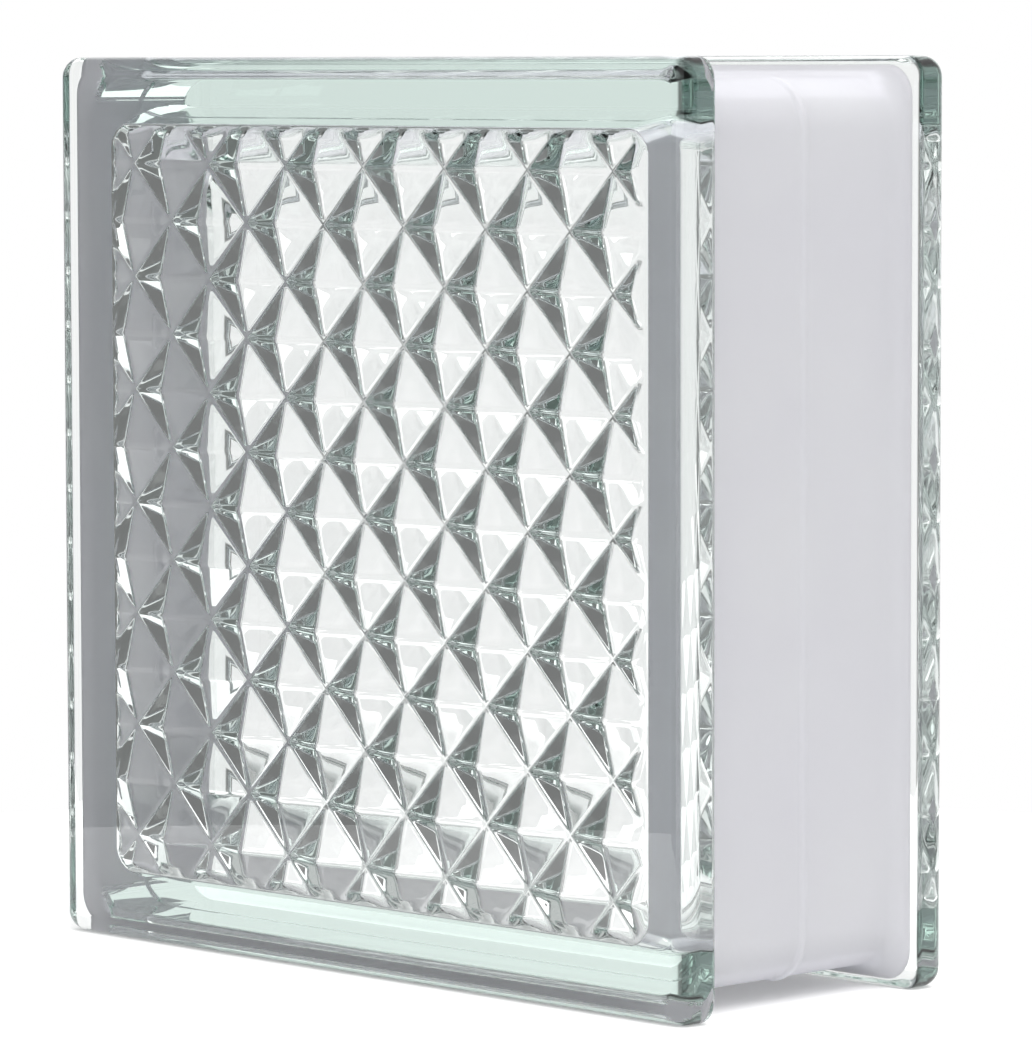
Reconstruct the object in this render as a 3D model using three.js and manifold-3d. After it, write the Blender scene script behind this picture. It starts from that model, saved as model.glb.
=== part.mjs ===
// Glass block, thin 8 x 8 x 3 inch size, in millimetres.
//
// The block is two pressed glass half-shells, each an open dish with a thick face pane,
// a lip round the face, a recessed side wall and a relief of square pits inside the pane.
// The open rims of the two dishes are fused at mid depth, which seals dry air inside.
// A white coating covers the recessed channel between the lips, where the mortar goes.
//
// Frame: X is the width, Y the depth with the front face at -Y, Z up. The block stands on
// the lips' bottom edges at Z = 0, and the origin is under its centre.

import * as THREE from 'three';
import { mergeVertices } from 'three/addons/utils/BufferGeometryUtils.js';
import Module from 'manifold-3d';

// Overall size: the nominal 8 x 8 x 3 inches less the mortar joint.
const WIDTH = 196.85;
const HEIGHT = 196.85;
const DEPTH = 79.375;

// Lip round each face.
const LIP_THICKNESS = 9.2;
const LIP_CORNER_RADIUS = 4.5;
const FACE_EDGE_RADIUS = 4;
const LIP_BACK_RADIUS = 1.2;

// Mortar channel between the lips, with a small bead where the halves are fused.
const CHANNEL_RECESS = 5;
const CHANNEL_CORNER_RADIUS = 10;
const SHOULDER_LENGTH = 5.5;
const SEAM_BEAD_HEIGHT = 0.4;
const SEAM_BEAD_WIDTH = 3;

// Hollow: the wall is measured from the channel floor inwards, and it thickens faster
// toward the pane.
const WALL_AT_PANE = 9.6;
const WALL_AT_SEAM = 5.5;
const HOLLOW_CORNER_RADIUS = 5;
const HOLLOW_FILLET = 0.8;

// Relief inside the face pane: square pyramidal pits set on their corners, cut off by a
// steep border where the fillet to the wall begins. The pattern sits a little off centre.
const PANE_AT_RIDGES = 7.5;
const PIT_DEPTH = 6;
const PIT_DIAGONAL = 25;
const RELIEF_OFFSET = -1.04;
const PIT_BORDER_RUN = 0.5;

// White coating, a thin closed band with a small clearance to the glass under it.
const COATING_THICKNESS = 0.5;
const COATING_CLEARANCE = 0.3;
const COATING_SETBACK = 0.6;

// Facets of curved edges and corners.
const CORNER_STEPS = 8;
const ARC_STEPS = 4;

const halfDepth = DEPTH / 2;
const paneAtPits = PANE_AT_RIDGES - PIT_DEPTH;
const insetAtPane = CHANNEL_RECESS + WALL_AT_PANE;

const wasm = await Module();
wasm.setup();

// ---- Section of the skin -------------------------------------------------------------

// The outside of one half, as (depth from its face, inset from the overall outline).
function skinSection() {
  const path = new THREE.Path();
  const face = FACE_EDGE_RADIUS;
  const back = LIP_BACK_RADIUS;
  path.moveTo(0, face);
  path.absarc(face, face, face, Math.PI, Math.PI * 1.5, false);
  path.lineTo(LIP_THICKNESS - back, 0);
  path.absarc(LIP_THICKNESS - back, back, back, -Math.PI / 2, 0, false);
  const floor = LIP_THICKNESS + SHOULDER_LENGTH;
  path.bezierCurveTo(
    LIP_THICKNESS + SHOULDER_LENGTH * 0.1, CHANNEL_RECESS * 0.7,
    LIP_THICKNESS + SHOULDER_LENGTH * 0.4, CHANNEL_RECESS,
    floor, CHANNEL_RECESS,
  );
  path.lineTo(halfDepth - SEAM_BEAD_WIDTH / 2, CHANNEL_RECESS);
  path.bezierCurveTo(
    halfDepth - SEAM_BEAD_WIDTH / 4, CHANNEL_RECESS,
    halfDepth - SEAM_BEAD_WIDTH / 4, CHANNEL_RECESS - SEAM_BEAD_HEIGHT,
    halfDepth, CHANNEL_RECESS - SEAM_BEAD_HEIGHT,
  );
  return path.getPoints(ARC_STEPS);
}

// The corner radius of the outline at a point of the skin. The face edge rolls round the
// lip's own corner, and the channel's corners are rounder than the lip's.
function skinCornerRadius(depth, inset) {
  if (depth < LIP_THICKNESS / 2) {
    return LIP_CORNER_RADIUS - inset;
  }
  return THREE.MathUtils.lerp(LIP_CORNER_RADIUS, CHANNEL_CORNER_RADIUS, inset / CHANNEL_RECESS);
}

// The hollow of one half, as (depth, inset), from the pits' bottoms to past the open rim:
// the pits' border, the fillet from the ridges' plane to the wall, and the wall, whose
// draft eases from its most at the pane to its least at the rim.
function hollowSection() {
  const insetAtSeam = CHANNEL_RECESS + WALL_AT_SEAM;
  const fillet = HOLLOW_FILLET;
  const wallStart = PANE_AT_RIDGES + fillet;
  const draft = (insetAtPane - insetAtSeam) / (halfDepth - wallStart);
  const past = 1;
  const path = new THREE.Path();
  path.moveTo(paneAtPits, insetAtPane + fillet + PIT_BORDER_RUN);
  path.lineTo(PANE_AT_RIDGES, insetAtPane + fillet);
  path.absarc(wallStart, insetAtPane + fillet, fillet, Math.PI, Math.PI * 1.5, false);
  path.bezierCurveTo(
    THREE.MathUtils.lerp(wallStart, halfDepth, 1 / 3), THREE.MathUtils.lerp(insetAtPane, insetAtSeam, 1 / 2),
    THREE.MathUtils.lerp(wallStart, halfDepth, 2 / 3), THREE.MathUtils.lerp(insetAtPane, insetAtSeam, 5 / 6),
    halfDepth, insetAtSeam,
  );
  path.lineTo(halfDepth + past, insetAtSeam - draft * past / 2);
  return path.getPoints(ARC_STEPS);
}

// The hollow's corner radius at an inset: the wall's own, and smaller by the fillet inwards.
function hollowCornerRadius(inset) {
  return HOLLOW_CORNER_RADIUS - Math.max(inset - insetAtPane, 0);
}

// ---- Lofts ---------------------------------------------------------------------------

// A rounded rectangle at one depth, as points that run the same way round on every ring.
function ring(depth, inset, radius) {
  const points = [];
  const x = WIDTH / 2 - inset - radius;
  const z = HEIGHT / 2 - inset - radius;
  const corners = [[x, z], [-x, z], [-x, -z], [x, -z]];
  corners.forEach(([cornerX, cornerZ], quarter) => {
    for (let step = 0; step <= CORNER_STEPS; step += 1) {
      const angle = (quarter + step / CORNER_STEPS) * Math.PI / 2;
      points.push([
        cornerX + radius * Math.cos(angle),
        depth - halfDepth,
        HEIGHT / 2 + cornerZ + radius * Math.sin(angle),
      ]);
    }
  });
  return points;
}

// A closed surface through rings. An open loft is capped at both ends, and a closed one
// joins its last ring to its first, as a band does.
function loft(rings, closed = false) {
  const count = rings[0].length;
  const positions = rings.flat();
  const triangles = [];
  const bands = closed ? rings.length : rings.length - 1;
  for (let band = 0; band < bands; band += 1) {
    const here = band * count;
    const next = ((band + 1) % rings.length) * count;
    for (let i = 0; i < count; i += 1) {
      const j = (i + 1) % count;
      triangles.push([here + i, next + i, next + j]);
      triangles.push([here + i, next + j, here + j]);
    }
  }
  if (!closed) {
    const last = (rings.length - 1) * count;
    const [first, end] = [rings[0], rings[rings.length - 1]];
    const centres = [first, end].map((points) => positions.push([0, points[0][1], HEIGHT / 2]) - 1);
    for (let i = 0; i < count; i += 1) {
      const j = (i + 1) % count;
      triangles.push([centres[0], i, j]);
      triangles.push([centres[1], last + j, last + i]);
    }
  }
  return toGeometry(positions, triangles);
}

function toGeometry(positions, triangles) {
  const geometry = new THREE.BufferGeometry();
  geometry.setAttribute('position', new THREE.Float32BufferAttribute(positions.flat(), 3));
  geometry.setIndex(triangles.flat());
  return geometry;
}

// ---- Relief --------------------------------------------------------------------------

// The space behind the relief: a block whose front follows the pits. Points of a grid of
// half diagonals are ridge crossings and pit bottoms in turn, and each cell folds along
// the diagonal that joins its two ridge crossings.
function reliefBlock() {
  const half = PIT_DIAGONAL / 2;
  const columns = Math.ceil((WIDTH / 2 + Math.abs(RELIEF_OFFSET)) / half);
  const rows = Math.ceil(HEIGHT / 2 / half);
  const back = halfDepth + 2;
  const positions = [];
  const triangles = [];
  const across = 2 * columns + 1;
  const up = 2 * rows + 1;
  const isRidge = (i, j) => (i + j) % 2 === 0;
  const at = (i, j) => (j + rows) * across + i + columns;
  for (let j = -rows; j <= rows; j += 1) {
    for (let i = -columns; i <= columns; i += 1) {
      const depth = isRidge(i, j) ? PANE_AT_RIDGES : paneAtPits;
      positions.push([RELIEF_OFFSET + i * half, depth - halfDepth, HEIGHT / 2 + j * half]);
    }
  }
  for (let j = -rows; j < rows; j += 1) {
    for (let i = -columns; i < columns; i += 1) {
      const [a, b, c, d] = [at(i, j), at(i + 1, j), at(i + 1, j + 1), at(i, j + 1)];
      if (isRidge(i, j)) {
        triangles.push([a, b, c], [a, c, d]);
      } else {
        triangles.push([a, b, d], [b, c, d]);
      }
    }
  }
  // The rim of the grid, once round, is carried back to a flat end.
  const rim = [];
  for (let i = 0; i < across - 1; i += 1) rim.push(i);
  for (let j = 0; j < up - 1; j += 1) rim.push(j * across + across - 1);
  for (let i = across - 1; i > 0; i -= 1) rim.push((up - 1) * across + i);
  for (let j = up - 1; j > 0; j -= 1) rim.push(j * across);
  const start = positions.length;
  rim.forEach((index) => positions.push([positions[index][0], back - halfDepth, positions[index][2]]));
  const centre = positions.push([0, back - halfDepth, HEIGHT / 2]) - 1;
  rim.forEach((index, k) => {
    const following = (k + 1) % rim.length;
    triangles.push([index, start + k, start + following]);
    triangles.push([index, start + following, rim[following]]);
    triangles.push([centre, start + following, start + k]);
  });
  return toGeometry(positions, triangles);
}

// ---- Solids --------------------------------------------------------------------------

function toSolid(geometry) {
  const merged = mergeVertices(geometry, 1e-5);
  return new wasm.Manifold(new wasm.Mesh({
    numProp: 3,
    vertProperties: new Float32Array(merged.attributes.position.array),
    triVerts: new Uint32Array(merged.index.array),
  }));
}

function fromSolid(solid) {
  const mesh = solid.getMesh();
  const geometry = new THREE.BufferGeometry();
  geometry.setAttribute('position', new THREE.BufferAttribute(mesh.vertProperties, 3));
  geometry.setIndex(new THREE.BufferAttribute(mesh.triVerts, 1));
  return geometry;
}

// One half-shell: the skin less a hollow whose floor carries the relief.
function halfShell() {
  const skin = loft(skinSection().map(({ x, y }) => ring(x, y, skinCornerRadius(x, y))));
  const hollow = loft(hollowSection().map(({ x, y }) => ring(x, y, hollowCornerRadius(y))));
  const space = toSolid(hollow).intersect(toSolid(reliefBlock()));
  return fromSolid(toSolid(skin).subtract(space));
}

// The coating follows the skin of both halves between the lips, at a set distance from it.
function coating() {
  const front = skinSection().filter(({ x }) => x >= LIP_THICKNESS + COATING_SETBACK);
  const rear = front.slice(0, -1).reverse().map(({ x, y }) => new THREE.Vector2(DEPTH - x, y));
  const line = [...front, ...rear];
  const offset = (distance) => line.map((point, k) => {
    const before = line[Math.max(k - 1, 0)];
    const after = line[Math.min(k + 1, line.length - 1)];
    const along = after.clone().sub(before).normalize();
    return [point.x + along.y * distance, point.y - along.x * distance, distance];
  });
  const inner = offset(COATING_CLEARANCE);
  const outer = offset(COATING_CLEARANCE + COATING_THICKNESS);
  const rings = [...outer, ...inner.reverse()].map(([depth, inset, distance]) => {
    const radius = skinCornerRadius(halfDepth, inset + distance) + distance;
    return ring(depth, inset, radius);
  });
  return loft(rings, true);
}

// ---- Scene graph ---------------------------------------------------------------------

function glass(name) {
  return new THREE.MeshStandardMaterial({ name, color: 0xcfe3dc, roughness: 0.05, metalness: 0 });
}

function part(name, geometry, material) {
  const mesh = new THREE.Mesh(geometry, material);
  geometry.computeVertexNormals();
  mesh.name = name;
  return mesh;
}

const block = new THREE.Group();
const frontHalf = part('front_half', halfShell(), glass('front_glass'));
const rearHalf = part('rear_half', frontHalf.geometry.clone(), glass('rear_glass'));
rearHalf.rotation.z = Math.PI;
const edgeCoating = part(
  'edge_coating',
  coating(),
  new THREE.MeshStandardMaterial({ name: 'white_coating', color: 0xdad9e0, roughness: 0.6, metalness: 0 }),
);
block.add(frontHalf, rearHalf, edgeCoating);

export default block;
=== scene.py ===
# %% [markdown]
# # A pressed glass block
# The block is two glass half-shells, pressed hot in a mould and fused at mid depth, so it holds
# sealed air. Inside each face pane the mould leaves square pyramid pits set on their corners.
# A white coat on the recessed edge keys the mortar and hides it from the room.
# The order here is the packed frame, the camera, the glass, the coat and the studio.

# %% Load the packed frame
import math

import bpy
from mathutils import Matrix, Vector


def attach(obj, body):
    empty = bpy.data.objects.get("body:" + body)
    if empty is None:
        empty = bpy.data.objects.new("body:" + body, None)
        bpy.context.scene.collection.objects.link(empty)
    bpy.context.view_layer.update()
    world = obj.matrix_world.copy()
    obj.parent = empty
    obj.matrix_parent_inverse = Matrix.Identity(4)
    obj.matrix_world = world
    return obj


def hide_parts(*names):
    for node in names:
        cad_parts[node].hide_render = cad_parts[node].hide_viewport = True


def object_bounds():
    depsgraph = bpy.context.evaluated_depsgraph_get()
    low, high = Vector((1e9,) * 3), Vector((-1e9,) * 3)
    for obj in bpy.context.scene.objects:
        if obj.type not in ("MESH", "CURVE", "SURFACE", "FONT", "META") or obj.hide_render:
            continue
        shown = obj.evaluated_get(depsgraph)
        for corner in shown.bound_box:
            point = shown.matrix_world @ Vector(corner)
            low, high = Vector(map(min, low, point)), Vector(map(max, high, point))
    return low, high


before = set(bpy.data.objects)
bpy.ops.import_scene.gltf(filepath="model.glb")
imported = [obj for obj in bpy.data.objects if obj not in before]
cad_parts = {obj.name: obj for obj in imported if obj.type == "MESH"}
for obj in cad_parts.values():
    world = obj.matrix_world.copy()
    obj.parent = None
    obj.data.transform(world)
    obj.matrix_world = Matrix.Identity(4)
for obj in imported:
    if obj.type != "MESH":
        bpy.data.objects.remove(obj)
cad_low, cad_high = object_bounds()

MM = 0.001


def box_sides(low, high):
    """The three sides of a box in millimetres."""
    return [round((b - a) / MM, 3) for a, b in zip(low, high)]


print("CAD box in mm:", box_sides(cad_low, cad_high))

# %% [markdown]
# ## Camera
# The block stands with its front face to -Y and is seen from the right, a little above its
# middle, through a long lens. A long lens keeps the far lip nearly as tall as the near one. The
# camera is given by where it stands and by the three angles it is turned through, and a matrix
# with its right, up and back directions sets it without any tracking constraint.

# %% Camera
VIEW_AZIMUTH = math.radians(45.858)
VIEW_ELEVATION = math.radians(4.573)
VIEW_ROLL = math.radians(-0.129)
VIEW_PLACE = Vector((0.920887, -0.885399, 0.196))
SENSOR_WIDTH_MM = 36
FOCAL_LENGTH_MM = 199.49
NEAR_CLIP = 0.05

back = Vector((
    math.sin(VIEW_AZIMUTH) * math.cos(VIEW_ELEVATION),
    -math.cos(VIEW_AZIMUTH) * math.cos(VIEW_ELEVATION),
    math.sin(VIEW_ELEVATION),
))
level = Vector((math.cos(VIEW_AZIMUTH), math.sin(VIEW_AZIMUTH), 0))
upright = back.cross(level)
right = level * math.cos(VIEW_ROLL) + upright * math.sin(VIEW_ROLL)
up = upright * math.cos(VIEW_ROLL) - level * math.sin(VIEW_ROLL)
turn = Matrix((right, up, back)).transposed().to_4x4()

lens = bpy.data.cameras.new("long_lens")
lens.sensor_width = SENSOR_WIDTH_MM
lens.lens = FOCAL_LENGTH_MM
lens.clip_start = NEAR_CLIP
camera = bpy.data.objects.new("camera", lens)
camera.matrix_world = Matrix.Translation(VIEW_PLACE) @ turn
bpy.context.scene.collection.objects.link(camera)
bpy.context.scene.camera = camera
print("camera", [round(v, 3) for v in camera.location], "lens", lens.lens, "mm")

# %% [markdown]
# ## Sizes
# All sizes are in millimetres, as on a mould drawing, and one factor turns them to metres when a
# mesh is made. The overall sizes are those of the packed frame's box. Depth is measured inwards
# from a face and inset inwards from the overall outline, so one section serves both halves.

# %% Sizes of the block in millimetres
HALF_WIDTH = round(cad_high.x / MM, 4)
HALF_DEPTH = round(cad_high.y / MM, 4)
CENTRE_HEIGHT = round((cad_low.z + cad_high.z) / 2 / MM, 4)
LIP_THICKNESS = 9.2
LIP_CORNER_RADIUS = 4.5
FACE_EDGE_RADIUS = 4.0
LIP_BACK_RADIUS = 1.2
CHANNEL_RECESS = 5.0
CHANNEL_CORNER_RADIUS = 10.0
SHOULDER_LENGTH = 5.5
SEAM_BEAD_HEIGHT = 0.4
SEAM_BEAD_WIDTH = 3.0
WALL_AT_PANE = 9.6
WALL_AT_SEAM = 5.5
HOLLOW_CORNER_RADIUS = 5.0
HOLLOW_FILLET = 0.8
PANE_AT_RIDGES = 7.5
PIT_DEPTH = 6.0
PIT_DIAGONAL = 25.0
PIT_BORDER_RUN = 0.5
print("half width", HALF_WIDTH, "half depth", HALF_DEPTH, "centre height", CENTRE_HEIGHT)

# %% [markdown]
# ## A net for a rounded square box
# Both the skin and the hollow are boxes with rounded-square outlines. Each could be a cube with
# bevels, but then the corners would not follow the mould's sections. Here a net of numbered
# lines is stretched over the box instead: a flat patch on each end, and rings between them.
# Along one axis a line is a fraction of the straight part and a fraction of the corner. The
# corner square is bent to a quarter disc by the elliptical map, so the patch and the rings share
# the same points.

# %% The net's lines and points
class Lines:
    """The net's lines along one axis, from the middle outwards."""

    def __init__(self, straight, corner):
        self.straight = straight + [1.0] * len(corner)
        self.corner = [0.0] * len(straight) + corner
        self.last = len(self.straight) - 1

    def at(self, k):
        """The signed straight fraction and corner fraction of line k."""
        sign = -1 if k < 0 else 1
        return sign * self.straight[abs(k)], sign * self.corner[abs(k)]


def even_lines(straight, corner):
    """Evenly spaced lines: this many steps along the straight part and round the corner."""
    return Lines(
        [k / straight for k in range(straight + 1)],
        [k / corner for k in range(1, corner + 1)],
    )


def net_point(lines, i, j, half, radius):
    """Point (i, j) of the net on a rounded square of this half width and corner radius."""
    straight_x, u = lines.at(i)
    straight_z, v = lines.at(j)
    x = (half - radius) * straight_x + radius * u * math.sqrt(1 - v * v / 2)
    z = (half - radius) * straight_z + radius * v * math.sqrt(1 - u * u / 2)
    return x, z


def in_metres(x, y, z):
    """A point about the block's centre in millimetres, as metres above the floor."""
    return x * MM, y * MM, (z + CENTRE_HEIGHT) * MM


corner_middle = net_point(even_lines(1, 1), 2, 2, HALF_WIDTH, CHANNEL_CORNER_RADIUS)
print("middle of a rounded corner:", [round(v, 3) for v in corner_middle])

# %% [markdown]
# ## A closed box
# The two patches and the rings are joined face by face. The border points of a patch, walked
# once round, are the points of its ring, so the box is closed without merging anything.

# %% A closed box net
def turned(face):
    """The same face seen from its other side, still starting at its first point."""
    return [face[0], *reversed(face[1:])]


def border_walk(last):
    """The net's border points in order, anticlockwise seen from the front."""
    side = range(-last, last)
    return (
        [(k, -last) for k in side]
        + [(last, k) for k in side]
        + [(-k, last) for k in side]
        + [(-last, -k) for k in side]
    )


def box_net(lines, rings, flip):
    """Points and faces of a closed box: end patches on the first and last ring, the rings between.

    A ring is (Y, half width, corner radius) in millimetres. Faces point out, or in with flip.
    """
    last = lines.last
    walk = border_walk(last)
    points, faces, ends = [], [], []
    for y, half, radius in (rings[0], rings[-1]):
        index = {}
        for j in range(-last, last + 1):
            for i in range(-last, last + 1):
                x, z = net_point(lines, i, j, half, radius)
                index[i, j] = len(points)
                points.append(in_metres(x, y, z))
        ends.append(index)
    for end, index in enumerate(ends):
        for j in range(-last, last):
            for i in range(-last, last):
                face = [index[i, j], index[i + 1, j], index[i + 1, j + 1], index[i, j + 1]]
                faces.append(face if end == 0 else turned(face))
    loops = [[ends[0][k] for k in walk]]
    for y, half, radius in rings[1:-1]:
        loop = []
        for i, j in walk:
            x, z = net_point(lines, i, j, half, radius)
            loop.append(len(points))
            points.append(in_metres(x, y, z))
        loops.append(loop)
    loops.append([ends[1][k] for k in walk])
    for near, far in zip(loops, loops[1:]):
        for k in range(len(walk)):
            n = (k + 1) % len(walk)
            faces.append([near[n], near[k], far[k], far[n]])
    if flip:
        faces = [turned(face) for face in faces]
    return points, faces


cube_points, cube_faces = box_net(
    even_lines(1, 1), [(y, HALF_WIDTH, CHANNEL_CORNER_RADIUS) for y in (0, HALF_DEPTH)], flip=False,
)
print("the smallest rounded box:", len(cube_points), "points,", len(cube_faces), "faces")

# %% [markdown]
# ## Curves for the sections
# A section is a list of points, so a rounded edge is a short arc and a soft shoulder is a Bezier
# curve in a few steps. The rings run through one half's section to the seam and back through
# the other half's.

# %% Curves and whole sections
def arc(cx, cy, radius, start, stop, steps):
    """Points on an arc, angles in degrees, with both ends."""
    turns = [math.radians(start + (stop - start) * k / steps) for k in range(steps + 1)]
    return [(cx + radius * math.cos(t), cy + radius * math.sin(t)) for t in turns]


def bezier(a, b, c, d, steps):
    """Points on a cubic curve after its first point."""
    made = []
    for k in range(1, steps + 1):
        t = k / steps
        weights = ((1 - t) ** 3, 3 * t * (1 - t) ** 2, 3 * t * t * (1 - t), t ** 3)
        pulls = list(zip(weights, (a, b, c, d)))
        made.append(tuple(sum(w * p[axis] for w, p in pulls) for axis in (0, 1)))
    return made


def both_halves(section, radius_at):
    """Rings through the block from one half's section of (depth, inset), ending at the seam."""
    front = [
        (depth - HALF_DEPTH, HALF_WIDTH - inset, radius_at(depth, inset))
        for depth, inset in section
    ]
    return front + [(-y, half, radius) for y, half, radius in front[-2::-1]]


quarter = arc(0, 0, FACE_EDGE_RADIUS, 180, 270, 2)
print("the face edge's arc about its centre:", [[round(v, 3) for v in point] for point in quarter])

# %% [markdown]
# ## The skin of the glass
# The outside of one half, from the face to the seam: the edge of the face rolls over a small
# radius, the lip runs straight back, and a soft shoulder drops to the mortar channel. Where the
# two rims melted together a low bead stands up. The skin could be two solids that touch, but two
# touching glass faces show a false mirror at the seam, so the fused block is one skin. A line
# close beside each curve keeps its smooth shading from spreading over the flat next to it. The
# shoulder's two handles are shares of its length and of the channel's recess.

# %% Skin section
FACE_EDGE_STEPS = 6
LIP_BACK_STEPS = 4
SHOULDER_STEPS = 8
SEAM_BEAD_STEPS = 5
SHOULDER_HANDLES = ((0.1, 0.7), (0.4, 1.0))
CLOSE_LINE = 0.4
SHOULDER_CLOSE_LINE = 0.5


def skin_section():
    """The outside of one half as (depth, inset)."""
    face, back_edge = FACE_EDGE_RADIUS, LIP_BACK_RADIUS
    floor_start = LIP_THICKNESS + SHOULDER_LENGTH
    bead = SEAM_BEAD_WIDTH / 2
    crest = CHANNEL_RECESS - SEAM_BEAD_HEIGHT
    handles = [
        (LIP_THICKNESS + SHOULDER_LENGTH * along, CHANNEL_RECESS * down)
        for along, down in SHOULDER_HANDLES
    ]
    section = arc(face, face, face, 180, 270, FACE_EDGE_STEPS)
    section += [(face + CLOSE_LINE, 0), (LIP_THICKNESS - back_edge - CLOSE_LINE, 0)]
    section += arc(LIP_THICKNESS - back_edge, back_edge, back_edge, -90, 0, LIP_BACK_STEPS)
    section += bezier(
        (LIP_THICKNESS, back_edge), *handles, (floor_start, CHANNEL_RECESS), SHOULDER_STEPS,
    )
    section += [
        (floor_start + SHOULDER_CLOSE_LINE, CHANNEL_RECESS),
        (HALF_DEPTH - bead - CLOSE_LINE, CHANNEL_RECESS),
        (HALF_DEPTH - bead, CHANNEL_RECESS),
    ]
    section += bezier(
        (HALF_DEPTH - bead, CHANNEL_RECESS), (HALF_DEPTH - bead / 2, CHANNEL_RECESS),
        (HALF_DEPTH - bead / 2, crest), (HALF_DEPTH, crest), SEAM_BEAD_STEPS,
    )
    return section


def skin_corner(depth, inset):
    """The corner's radius: smaller where the face edge rolls in, larger in the channel."""
    if depth < LIP_THICKNESS / 2:
        return LIP_CORNER_RADIUS - inset
    return LIP_CORNER_RADIUS + (CHANNEL_CORNER_RADIUS - LIP_CORNER_RADIUS) * inset / CHANNEL_RECESS


print("skin section:", len(skin_section()), "points from face to seam")

# %% Skin net
SKIN_STRAIGHT_LINES = 22
SKIN_CORNER_LINES = 6
skin_points, skin_faces = box_net(
    even_lines(SKIN_STRAIGHT_LINES, SKIN_CORNER_LINES),
    both_halves(skin_section(), skin_corner), flip=False,
)
print("skin:", len(skin_points), "points,", len(skin_faces), "faces")

# %% [markdown]
# ## The hollow
# The plunger that presses each half leaves a drafted wall, a small fillet and the patterned
# pane. Seen from the glass its surface faces the other way, into the air. Its patch has lines
# every twelfth of half a pit, so that every ridge and every crease of the pattern runs through
# the net's points and none is cut by a face. The pattern sits one line off centre, as it does
# in the mould, and turning the second half round puts its pattern off to the other side.

# %% Lines of the hollow's patch
LINES_PER_HALF_PIT = 12
LINE_STEP = PIT_DIAGONAL / 2 / LINES_PER_HALF_PIT
RELIEF_OFFSET = -LINE_STEP
FLAT_HALF = HALF_WIDTH - CHANNEL_RECESS - WALL_AT_PANE - HOLLOW_FILLET
CORNER_FIRST_LINE = int((FLAT_HALF - HOLLOW_CORNER_RADIUS + HOLLOW_FILLET) / LINE_STEP)
PATCH_LAST_LINE = int(FLAT_HALF / LINE_STEP)
FLAT_CORNER_RADIUS = FLAT_HALF - CORNER_FIRST_LINE * LINE_STEP

hollow_lines = Lines(
    [k / CORNER_FIRST_LINE for k in range(CORNER_FIRST_LINE + 1)],
    [
        (k - CORNER_FIRST_LINE) * LINE_STEP / FLAT_CORNER_RADIUS
        for k in range(CORNER_FIRST_LINE + 1, PATCH_LAST_LINE)
    ] + [1.0],
)
print("flat half", round(FLAT_HALF, 3), "mm with", hollow_lines.last, "lines each way")

# %% [markdown]
# ## The hollow's section
# The wall isn't straight: it leans by one and a half times its average at the pane and by half
# of it at the seam, where the melted rims leave a low ridge inside. So a few rings follow its
# curve, placed by their distance behind the fillet, and a Bezier curve makes the ridge.

# %% Hollow section and net
HOLLOW_FILLET_STEPS = 3
WALL_RINGS = (0.5, 3, 6, 9, 13, 18, 23)
DRAFT_AT_PANE = 1.5
SEAM_RIDGE = 0.5
SEAM_RIDGE_FOOT = 2.2
SEAM_RIDGE_CREST = 1.0
SEAM_RIDGE_STEPS = 3


def hollow_section():
    """The hollow of one half as (depth, inset), from the fillet's foot to the seam."""
    at_pane = CHANNEL_RECESS + WALL_AT_PANE
    at_seam = CHANNEL_RECESS + WALL_AT_SEAM
    start = PANE_AT_RIDGES + HOLLOW_FILLET
    span = HALF_DEPTH - start
    section = arc(start, at_pane + HOLLOW_FILLET, HOLLOW_FILLET, 180, 270, HOLLOW_FILLET_STEPS)
    for along in (*WALL_RINGS, span - SEAM_RIDGE_FOOT):
        ease = along / span
        eased = DRAFT_AT_PANE * ease - (DRAFT_AT_PANE - 1) * ease ** 2
        section.append((start + along, at_pane - (at_pane - at_seam) * eased))
    foot = section[-1]
    crest = at_seam + SEAM_RIDGE
    section += bezier(
        foot, (HALF_DEPTH - SEAM_RIDGE_FOOT / 2, foot[1]),
        (HALF_DEPTH - SEAM_RIDGE_CREST, crest), (HALF_DEPTH, crest), SEAM_RIDGE_STEPS,
    )
    return section


def hollow_corner(depth, inset):
    """The hollow's corner radius: the wall's own, and smaller where the fillet turns in."""
    wall = FLAT_CORNER_RADIUS + HOLLOW_FILLET
    return wall - max(inset - CHANNEL_RECESS - WALL_AT_PANE, 0)


hollow_points, hollow_faces = box_net(
    hollow_lines, both_halves(hollow_section(), hollow_corner), flip=True,
)
print("hollow:", len(hollow_points), "points,", len(hollow_faces), "faces")

# %% [markdown]
# ## Pressing the pits with Geometry Nodes
# The pits follow one rule over the whole pane, so a node tree presses them and the sizes stay
# open as inputs. With diagonal coordinates counted in half pits, a ping-pong wave gives the
# distance to the nearest ridge in each direction, and the smaller of the two is the pit. A second
# limit, the distance in from the rounded border, cuts the outermost pits off with a steep wall.
# The faces are split along the ridges first, so that no triangle bridges one.

# %% A function that adds a node
MATH = "ShaderNodeMath"


def add_node(tree, kind, *inputs, named=None, **settings):
    """Adds a node with its settings. Inputs are values, sockets or nodes, by order or by name."""
    made = tree.nodes.new(kind)
    for name, value in settings.items():
        setattr(made, name, value)
    for key, value in [*enumerate(inputs), *(named or {}).items()]:
        if isinstance(value, bpy.types.Node):
            value = value.outputs[0]
        if isinstance(value, bpy.types.NodeSocket):
            tree.links.new(value, made.inputs[key])
        elif value is not None:
            made.inputs[key].default_value = value
    return made


print(add_node.__doc__)

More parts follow.
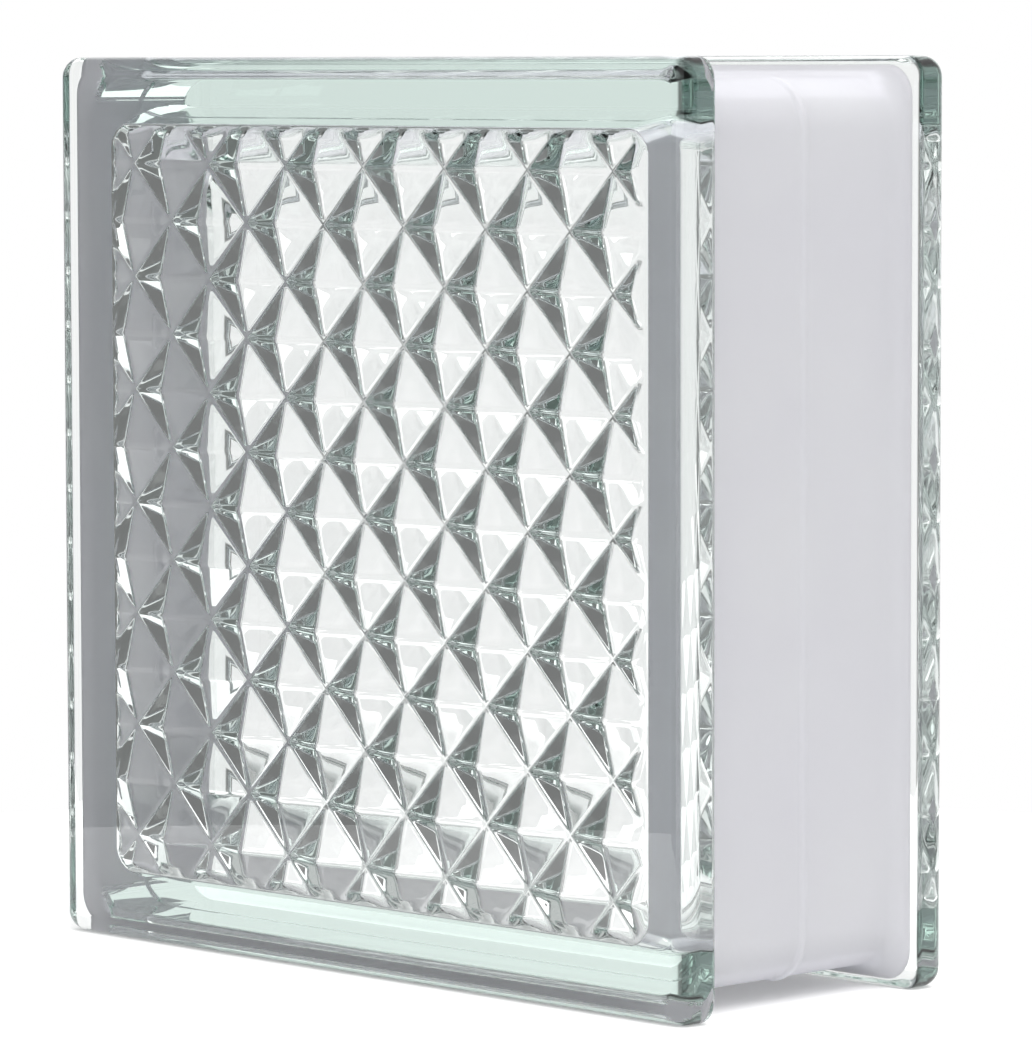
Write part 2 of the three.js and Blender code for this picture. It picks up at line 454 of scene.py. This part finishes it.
# %% The press tree's inputs and coordinates
PRESS_INPUTS = (
    "Pit Diagonal", "Pit Depth", "Relief Offset", "Ridge Softness", "Crease Softness",
    "Flat Half Width", "Flat Corner Radius", "Border Run", "Centre Height",
)
press_pits = bpy.data.node_groups.new("press_pits", "GeometryNodeTree")
tree = press_pits
tree.interface.new_socket("Net", in_out="INPUT", socket_type="NodeSocketGeometry")
for name in PRESS_INPUTS:
    tree.interface.new_socket(name, in_out="INPUT", socket_type="NodeSocketFloat")
tree.interface.new_socket("Material", in_out="INPUT", socket_type="NodeSocketMaterial")
tree.interface.new_socket("Pressed", in_out="OUTPUT", socket_type="NodeSocketGeometry")

given = add_node(tree, "NodeGroupInput").outputs
pane = add_node(tree, "GeometryNodeInputNamedAttribute", "pane", data_type="FLOAT")
pane_size = add_node(tree, MATH, pane, operation="ABSOLUTE")
on_pane = add_node(tree, MATH, pane_size, 0.5, operation="GREATER_THAN")
place = add_node(tree, "GeometryNodeInputPosition")
parts = add_node(tree, "ShaderNodeSeparateXYZ", place).outputs
across = add_node(tree, MATH, pane, given["Relief Offset"], parts["X"], operation="MULTIPLY_ADD")
above = add_node(tree, MATH, parts["Z"], given["Centre Height"], operation="SUBTRACT")
half_pit = add_node(tree, MATH, given["Pit Diagonal"], 0.5, operation="MULTIPLY")
print("press_pits has inputs", [socket.name for socket in given if socket.name])

# %% [markdown]
# ## Splitting the pane along the ridges
# A ridge crosses each square of half a pit from corner to corner, and the corner changes with
# every square, like a chessboard's colours. Triangulating the odd squares one way and the rest
# the other puts an edge under every ridge.

# %% Split the faces along the ridges
column = add_node(tree, MATH, across, half_pit, operation="DIVIDE")
column = add_node(tree, MATH, column, operation="FLOOR")
row = add_node(tree, MATH, above, half_pit, operation="DIVIDE")
row = add_node(tree, MATH, row, operation="FLOOR")
both = add_node(tree, MATH, column, row, operation="ADD")
odd = add_node(tree, MATH, both, 2.0, operation="FLOORED_MODULO")
odd_pane = add_node(tree, MATH, odd, on_pane, operation="MULTIPLY")
split = add_node(
    tree, "GeometryNodeTriangulate", given["Net"], odd_pane, quad_method="FIXED_ALTERNATE",
)
split = add_node(tree, "GeometryNodeTriangulate", split, quad_method="FIXED")
print("with the split:", len(tree.nodes), "nodes")

# %% [markdown]
# ## The pits
# The pit is the smaller of the two distances to a ridge, so four planes meet at its tip. Fire
# rounds the ridges and creases a little: each distance is softened at the ridge itself, and the
# two are joined by a smooth minimum.

# %% Depth of the pits
distances = []
softness = given["Ridge Softness"]
soft_square = add_node(tree, MATH, softness, softness, operation="MULTIPLY")
for way in ("ADD", "SUBTRACT"):
    diagonal = add_node(tree, MATH, across, above, operation=way)
    diagonal = add_node(tree, MATH, diagonal, half_pit, operation="DIVIDE")
    wave = add_node(tree, MATH, diagonal, 1.0, operation="PINGPONG")
    square = add_node(tree, MATH, wave, wave, soft_square, operation="MULTIPLY_ADD")
    root = add_node(tree, MATH, square, operation="SQRT")
    distances.append(add_node(tree, MATH, root, softness, operation="SUBTRACT"))
pit = add_node(tree, MATH, *distances, given["Crease Softness"], operation="SMOOTH_MIN")
pit = add_node(tree, MATH, pit, given["Pit Depth"], operation="MULTIPLY")
print("with the pits:", len(tree.nodes), "nodes")

# %% [markdown]
# ## The relief's border
# A rounded square frames the relief. How far a point lies inside it, times the slope of the
# border's steep wall, is the deepest that a pit may be there. The distance to a rounded square
# is the length of what reaches past its straight part, less the corner's radius.

# %% Limit at the border
corner = given["Flat Corner Radius"]
straight = add_node(tree, MATH, given["Flat Half Width"], corner, operation="SUBTRACT")
beyond, squares = [], []
for axis in (parts["X"], above):
    far = add_node(tree, MATH, axis, operation="ABSOLUTE")
    far = add_node(tree, MATH, far, straight, operation="SUBTRACT")
    clipped = add_node(tree, MATH, far, 0.0, operation="MAXIMUM")
    beyond.append(far)
    squares.append(add_node(tree, MATH, clipped, 2.0, operation="POWER"))
outer = add_node(tree, MATH, *squares, operation="ADD")
outer = add_node(tree, MATH, outer, operation="SQRT")
inner = add_node(tree, MATH, *beyond, operation="MAXIMUM")
inner = add_node(tree, MATH, inner, 0.0, operation="MINIMUM")
inside = add_node(tree, MATH, outer, inner, operation="ADD")
inside = add_node(tree, MATH, corner, inside, operation="SUBTRACT")
slope = add_node(tree, MATH, given["Pit Depth"], given["Border Run"], operation="DIVIDE")
limit = add_node(tree, MATH, inside, slope, operation="MULTIPLY")
limit = add_node(tree, MATH, limit, 0.0, operation="MAXIMUM")
print("with the border:", len(tree.nodes), "nodes")

# %% [markdown]
# ## Pressing
# The pane attribute is -1 in front, 1 behind and 0 elsewhere, so it turns the depth towards the
# face and leaves every other point alone. The tree ends by realising what it made and giving it
# the glass.

# %% Press and paint
depth = add_node(tree, MATH, pit, limit, operation="MINIMUM")
depth = add_node(tree, MATH, depth, pane, operation="MULTIPLY")
offset = add_node(tree, "ShaderNodeCombineXYZ", named={"Y": depth})
pressed = add_node(
    tree, "GeometryNodeSetPosition", split, named={"Selection": on_pane, "Offset": offset},
)
smooth = add_node(tree, "GeometryNodeSetShadeSmooth", pressed)
solid = add_node(tree, "GeometryNodeRealizeInstances", smooth)
painted = add_node(tree, "GeometryNodeSetMaterial", solid, named={"Material": given["Material"]})
add_node(tree, "NodeGroupOutput", painted)
print("press_pits has", len(tree.nodes), "nodes")

# %% [markdown]
# ## The glass finish
# Pressed soda-lime glass: fire-polished and clear, with an IOR of 1.52. The green is not a
# surface colour but iron in the melt, so it is a volume absorption that deepens with the length
# of the light's path: pale through a pane and dark green along a lip. The hollow's faces point
# into the air, so the same material bounds the glass on both sides.

# %% Colour helper and the glass material
WHITE = (1, 1, 1, 1)


def linear(code):
    """An sRGB hex colour as a linear RGBA value."""
    channels = [int(code[k:k + 2], 16) / 255 for k in (1, 3, 5)]
    return (*(c / 12.92 if c <= 0.04045 else ((c + 0.055) / 1.055) ** 2.4 for c in channels), 1.0)


def new_material(name):
    """An empty node material, with its tree and output node."""
    material = bpy.data.materials.new(name)
    material.use_nodes = True
    material.node_tree.nodes.clear()
    return material, material.node_tree, add_node(material.node_tree, "ShaderNodeOutputMaterial")


GLASS_IOR = 1.52
GLASS_TINT = "#7cc2ad"
GLASS_DENSITY = 5.0

pressed_glass, tree, output = new_material("pressed_soda_lime_glass")
polished = add_node(
    tree, "ShaderNodeBsdfPrincipled",
    named={"Base Color": WHITE, "Roughness": 0.0, "IOR": GLASS_IOR, "Transmission Weight": 1.0},
)
melt = add_node(
    tree, "ShaderNodeVolumeAbsorption",
    named={"Color": linear(GLASS_TINT), "Density": GLASS_DENSITY},
)
tree.links.new(polished.outputs[0], output.inputs["Surface"])
tree.links.new(melt.outputs[0], output.inputs["Volume"])
print("glass material:", len(tree.nodes), "nodes")

# %% [markdown]
# ## The glass block
# The net of the skin and the net of the hollow become one mesh, because the two half-shells are
# fused and no surface is left between them. An attribute tells the tree which points lie on a
# pane and which way its pits go: towards -Y in front and +Y behind.

# %% The glass net and its pane attribute
def object_from(name, points, faces):
    """A smooth-shaded mesh object with its place in its points."""
    mesh = bpy.data.meshes.new(name)
    mesh.from_pydata(points, [], faces)
    mesh.polygons.foreach_set("use_smooth", [True] * len(mesh.polygons))
    mesh.update()
    made = bpy.data.objects.new(name, mesh)
    bpy.context.scene.collection.objects.link(made)
    return made


shift = len(skin_points)
net = object_from(
    "glass_net", skin_points + hollow_points,
    skin_faces + [[k + shift for k in face] for face in hollow_faces],
)
patch_size = (2 * hollow_lines.last + 1) ** 2
rest_size = len(hollow_points) - 2 * patch_size
pane_value = net.data.attributes.new("pane", "FLOAT", "POINT")
pane_value.data.foreach_set(
    "value", [0.0] * shift + [-1.0] * patch_size + [1.0] * patch_size + [0.0] * rest_size,
)
print("glass net:", len(net.data.vertices), "points,", patch_size, "on each pane")

# %% [markdown]
# ## Running the press
# The modifier's inputs are set by their identifiers before the net is first evaluated. The
# softnesses are shares of a pit's depth. The result then replaces the net as a plain mesh.

# %% Press the block
RIDGE_SOFTNESS = 0.02
CREASE_SOFTNESS = 0.03


def without_modifiers(made, name):
    """The evaluated object as a plain mesh object, in place of the one with live modifiers."""
    shape = made.evaluated_get(bpy.context.evaluated_depsgraph_get())
    mesh = bpy.data.meshes.new_from_object(shape)
    bpy.data.objects.remove(made)
    mesh.name = name
    plain = bpy.data.objects.new(name, mesh)
    bpy.context.scene.collection.objects.link(plain)
    return plain


press = net.modifiers.new("press_pits", "NODES")
press.node_group = press_pits
sizes = {
    "Pit Diagonal": PIT_DIAGONAL * MM, "Pit Depth": PIT_DEPTH * MM,
    "Relief Offset": RELIEF_OFFSET * MM,
    "Ridge Softness": RIDGE_SOFTNESS, "Crease Softness": CREASE_SOFTNESS,
    "Flat Half Width": FLAT_HALF * MM, "Flat Corner Radius": FLAT_CORNER_RADIUS * MM,
    "Border Run": PIT_BORDER_RUN * MM, "Centre Height": CENTRE_HEIGHT * MM,
    "Material": pressed_glass,
}
for socket in press_pits.interface.items_tree:
    if socket.name in sizes:
        press[socket.identifier] = sizes[socket.name]
glass_block = without_modifiers(net, "glass_block")
glass_block.data.attributes.remove(glass_block.data.attributes["pane"])
print("glass_block:", len(glass_block.data.polygons), "faces", glass_block.data.materials[:])

# %% [markdown]
# ## The edge coat
# A white latex-like coat is sprayed on the recessed edge so that mortar grips and the bed stays
# hidden. On the two sides it clings to the glass, so its inner face sits a tenth of a millimetre
# inside the skin and no air shows between them. Along the top and the foot, where blocks are
# stacked, it has come loose by a hair of air, and the glass there mirrors inside like a prism.
# It is a closed band of rings: out along its outside, back along its inside, and thinner towards
# both ends, as spray is beside a mask.

# %% Rings of the coat
COAT_OUT = 0.4
COAT_IN = 0.1
COAT_LIFT = 0.15
COAT_START_INSET = 1.9
COAT_TAPER = 2.5
COAT_THINNEST = 0.25


def section_normal(section, k):
    """The direction out of the glass at point k of a section, level at the seam's crest."""
    if k == len(section) - 1:
        return 0.0, -1.0
    before, after = section[k - 1], section[k + 1]
    run = (after[0] - before[0], after[1] - before[1])
    size = math.hypot(*run)
    return run[1] / size, -run[0] / size


def coat_rings():
    """Rings round the coat's outside from front to rear, then round its inside back again."""
    section = skin_section()
    first = next(
        k for k, (depth, inset) in enumerate(section)
        if depth >= LIP_THICKNESS and inset > COAT_START_INSET
    )
    outside, inside = [], []
    for k in range(first, len(section)):
        depth, inset = section[k]
        normal = section_normal(section, k)
        along = (depth - section[first][0]) / COAT_TAPER
        thin = min(1.0, COAT_THINNEST + (1 - COAT_THINNEST) * along)
        for way, lift, rings in ((COAT_OUT * thin, 0, outside), (-COAT_IN, COAT_LIFT, inside)):
            there = (depth + normal[0] * way, inset + normal[1] * way)
            radius = skin_corner(depth, inset) + inset - there[1]
            rings.append((there[0] - HALF_DEPTH, HALF_WIDTH - there[1], radius, lift))
    mirror = [[(-ring[0], *ring[1:]) for ring in rings[-2::-1]] for rings in (outside, inside)]
    return outside + mirror[0] + (inside + mirror[1])[::-1]


coat_band = coat_rings()
print("coat:", len(coat_band), "rings, the first", round(-coat_band[0][0], 2), "mm before the seam")

# %% Coat net
COAT_STRAIGHT_LINES = 90
COAT_CORNER_LINES = 8


def band_net(lines, rings):
    """Points and faces of a closed band: each ring joined to the next, the last to the first.

    A ring is (Y, half width, corner radius, lift); the lift moves its top up and its foot down.
    """
    walk = border_walk(lines.last)
    points, faces = [], []
    for y, half, radius, lift in rings:
        for i, j in walk:
            x, z = net_point(lines, i, j, half, radius)
            points.append(in_metres(x, y, z + lift * lines.at(j)[0]))
    count = len(walk)
    for ring in range(len(rings)):
        far = (ring + 1) % len(rings) * count
        near = ring * count
        for k in range(count):
            n = (k + 1) % count
            faces.append([near + n, near + k, far + k, far + n])
    return points, faces


coat_lines = even_lines(COAT_STRAIGHT_LINES, COAT_CORNER_LINES)
edge_coat = object_from("edge_coat", *band_net(coat_lines, coat_band))
print("edge_coat:", len(edge_coat.data.polygons), "faces")

# %% [markdown]
# ## The coat's finish
# Sprayed white latex: matt, a shade of lavender from the glass behind it, a little uneven, and
# thin enough that some light comes through. A Translucent shader mixed in lets that light glow
# on the inside of the glass, which a plain diffuse surface would leave black. Real spray grain
# is finer, and here it is drawn just coarse enough to show. A Mix node keeps sockets for every
# kind of value under the same names, so its sockets are given by number.

# %% Coat material
COAT_COLOUR = "#f4f3f8"
COAT_PALE = "#fafafc"
COAT_ROUGHNESS = 0.62
COAT_IOR = 1.46
COAT_THROUGH = 0.65
SPRAY_CLOUD_MM = 35
SPRAY_GRAIN_MM = 0.9
SPRAY_GRAIN_HEIGHT_MM = 0.05
MIX_FACTOR = 0
MIX_COLOURS = (6, 7)
MIX_COLOUR_OUT = 2

sprayed_coat, tree, output = new_material("sprayed_white_latex")
spot = add_node(tree, "ShaderNodeTexCoord").outputs["Object"]
cloud = add_node(
    tree, "ShaderNodeTexNoise",
    named={"Vector": spot, "Scale": 1 / (SPRAY_CLOUD_MM * MM), "Detail": 3.0},
)
grain = add_node(
    tree, "ShaderNodeTexNoise",
    named={"Vector": spot, "Scale": 1 / (SPRAY_GRAIN_MM * MM), "Detail": 2.0},
)
shade = add_node(
    tree, "ShaderNodeMix", data_type="RGBA",
    named={
        MIX_FACTOR: cloud, MIX_COLOURS[0]: linear(COAT_COLOUR), MIX_COLOURS[1]: linear(COAT_PALE),
    },
).outputs[MIX_COLOUR_OUT]
orange_peel = add_node(
    tree, "ShaderNodeBump",
    named={"Strength": 0.3, "Distance": SPRAY_GRAIN_HEIGHT_MM * MM, "Height": grain},
)
film = add_node(
    tree, "ShaderNodeBsdfPrincipled",
    named={
        "Base Color": shade, "Roughness": COAT_ROUGHNESS, "IOR": COAT_IOR, "Normal": orange_peel,
    },
)
glow = add_node(tree, "ShaderNodeBsdfTranslucent", shade, orange_peel)
mixed = add_node(tree, "ShaderNodeMixShader", COAT_THROUGH, film, glow)
tree.links.new(mixed.outputs[0], output.inputs["Surface"])
edge_coat.data.materials.append(sprayed_coat)
print("coat material:", len(tree.nodes), "nodes")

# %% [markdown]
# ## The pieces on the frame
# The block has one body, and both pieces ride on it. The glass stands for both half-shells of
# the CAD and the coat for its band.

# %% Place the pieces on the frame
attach(glass_block, "root")
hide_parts("front_half", "rear_half")
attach(edge_coat, "root")
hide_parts("edge_coating")

# %% [markdown]
# ## The studio's walls
# Glass has no colour of its own to light. It shows what stands around it, bent and mirrored, so
# the studio is made of what the glass should see: a wide white wall behind it, a narrower white
# panel in front, and dim sides between them that give every ridge a dark edge. A wall is the
# direction of its middle, turned from +Y towards +X, and half its width, both as angles.

# %% Walls
BACK_WALL = (math.radians(0), math.radians(66))
FRONT_PANEL = (math.radians(167), math.radians(24))
EDGE = math.radians(5)
WALL_LEVEL = 1.0
SIDE_LEVEL = 0.2

world = bpy.data.worlds.new("studio")
bpy.context.scene.world = world
world.use_nodes = True
tree = world.node_tree
tree.nodes.clear()
way = add_node(tree, "ShaderNodeTexCoord").outputs["Generated"]
flat = add_node(tree, "ShaderNodeVectorMath", way, (1, 1, 0), operation="MULTIPLY")
flat = add_node(tree, "ShaderNodeVectorMath", flat, operation="NORMALIZE")
panels = []
for axis, half in (BACK_WALL, FRONT_PANEL):
    facing = add_node(
        tree, "ShaderNodeVectorMath", flat, (math.sin(axis), math.cos(axis), 0),
        operation="DOT_PRODUCT",
    )
    panels.append(add_node(
        tree, "ShaderNodeMapRange", interpolation_type="SMOOTHSTEP",
        named={
            "Value": facing.outputs["Value"], "From Min": math.cos(half + EDGE),
            "From Max": math.cos(half - EDGE), "To Min": SIDE_LEVEL, "To Max": WALL_LEVEL,
        },
    ))
walls = add_node(tree, MATH, *panels, operation="MAXIMUM")
print("walls:", len(tree.nodes), "nodes")

# %% [markdown]
# ## What each kind of ray sees
# The walls are drawn for rays that left glass or a gloss. Diffuse rays get one even level, so
# the coat is lit plainly, and an even level needs no light sampling of its own. A translucent
# ray counts as both diffuse and transmitted, so the diffuse flag wins. The camera sees white.

# %% World
ROOM_LEVEL = 1.08
BACKDROP_LEVEL = 1.0
MIX_VALUES = (2, 3)

ray = add_node(tree, "ShaderNodeLightPath").outputs
bent = add_node(tree, MATH, ray["Is Glossy Ray"], ray["Is Transmission Ray"], operation="MAXIMUM")
bent = add_node(tree, MATH, bent, ray["Is Diffuse Ray"], operation="SUBTRACT", use_clamp=True)
light = ROOM_LEVEL
for flag, seen in ((bent, walls), (ray["Is Camera Ray"], BACKDROP_LEVEL)):
    light = add_node(
        tree, "ShaderNodeMix", named={MIX_FACTOR: flag, MIX_VALUES[0]: light, MIX_VALUES[1]: seen},
    )
background = add_node(tree, "ShaderNodeBackground", WHITE, light)
add_node(tree, "ShaderNodeOutputWorld", background)
world.cycles.sampling_method = "NONE"
print("world:", len(tree.nodes), "nodes")

# %% [markdown]
# ## Floor
# A small round white table. It stays diffuse so that it keeps the block's shadow, and a little
# light of its own, seen only by the camera and by rays from glass, brings its lit part up to the
# white of the room behind it. That light falls on nothing, so Cycles need not sample it.

# %% Floor
FLOOR_RADIUS = 0.28
FLOOR_SIDES = 96
FLOOR_COLOUR = "#f6f6f6"
FLOOR_LIFT = 0.2

floor_turns = [k * math.tau / FLOOR_SIDES for k in range(FLOOR_SIDES)]
floor_rim = [(FLOOR_RADIUS * math.cos(t), FLOOR_RADIUS * math.sin(t), 0) for t in floor_turns]
floor = object_from("floor", floor_rim, [list(range(FLOOR_SIDES))])
floor_paint, tree, output = new_material("pale_table")
cloth = add_node(tree, "ShaderNodeBsdfDiffuse", linear(FLOOR_COLOUR))
ray = add_node(tree, "ShaderNodeLightPath").outputs
seen = add_node(tree, MATH, ray["Is Camera Ray"], ray["Is Glossy Ray"], operation="MAXIMUM")
seen = add_node(tree, MATH, seen, ray["Is Transmission Ray"], operation="MAXIMUM")
lift = add_node(tree, MATH, seen, FLOOR_LIFT, operation="MULTIPLY")
own = add_node(tree, "ShaderNodeEmission", WHITE, lift)
table_top = add_node(tree, "ShaderNodeAddShader", cloth, own)
tree.links.new(table_top.outputs[0], output.inputs["Surface"])
floor_paint.cycles.emission_sampling = "NONE"
floor.data.materials.append(floor_paint)
print("floor radius", FLOOR_RADIUS, "m")

# %% [markdown]
# ## Lamp
# One large soft box hangs above and to the right, plain and broad, so that the top of the coat is
# a little brighter than its foot and the shadow under the block is soft. It is hidden from
# glossy and transmitted rays, because the studio's walls already give the glass its highlights.

# %% Soft box
SOFT_BOX_SIZE = 1.4
SOFT_BOX_WATTS = 18
SOFT_BOX_PLACE = Vector((0.7, -0.1, 1.35))
SOFT_BOX_AIM = Vector((0, 0, 0.1))

soft_box = bpy.data.lights.new("soft_box", "AREA")
soft_box.shape = "SQUARE"
soft_box.size = SOFT_BOX_SIZE
soft_box.energy = SOFT_BOX_WATTS
lamp = bpy.data.objects.new("soft_box", soft_box)
lamp.location = SOFT_BOX_PLACE
lamp.rotation_euler = (SOFT_BOX_AIM - lamp.location).to_track_quat("-Z", "Y").to_euler()
lamp.visible_glossy = False
lamp.visible_transmission = False
bpy.context.scene.collection.objects.link(lamp)
print("soft box of", SOFT_BOX_SIZE, "m and", SOFT_BOX_WATTS, "W")

# %% [markdown]
# ## Light paths and view
# A ray may be thrown back and forth in a lip a dozen times before it leaves, so the glass needs
# more bounces than Blender's defaults, while the matt coat needs only a few. The view transform
# is Standard, so a colour shows as it is written.

# %% Light paths and view
cycles = bpy.context.scene.cycles
cycles.max_bounces = 16
cycles.transmission_bounces = 16
cycles.glossy_bounces = 10
cycles.diffuse_bounces = 3
bpy.context.scene.view_settings.view_transform = "Standard"
print("bounces:", cycles.max_bounces, "in all,", cycles.diffuse_bounces, "diffuse")

# %% [markdown]
# ## The two boxes
# The visible block has to fill the CAD's box.
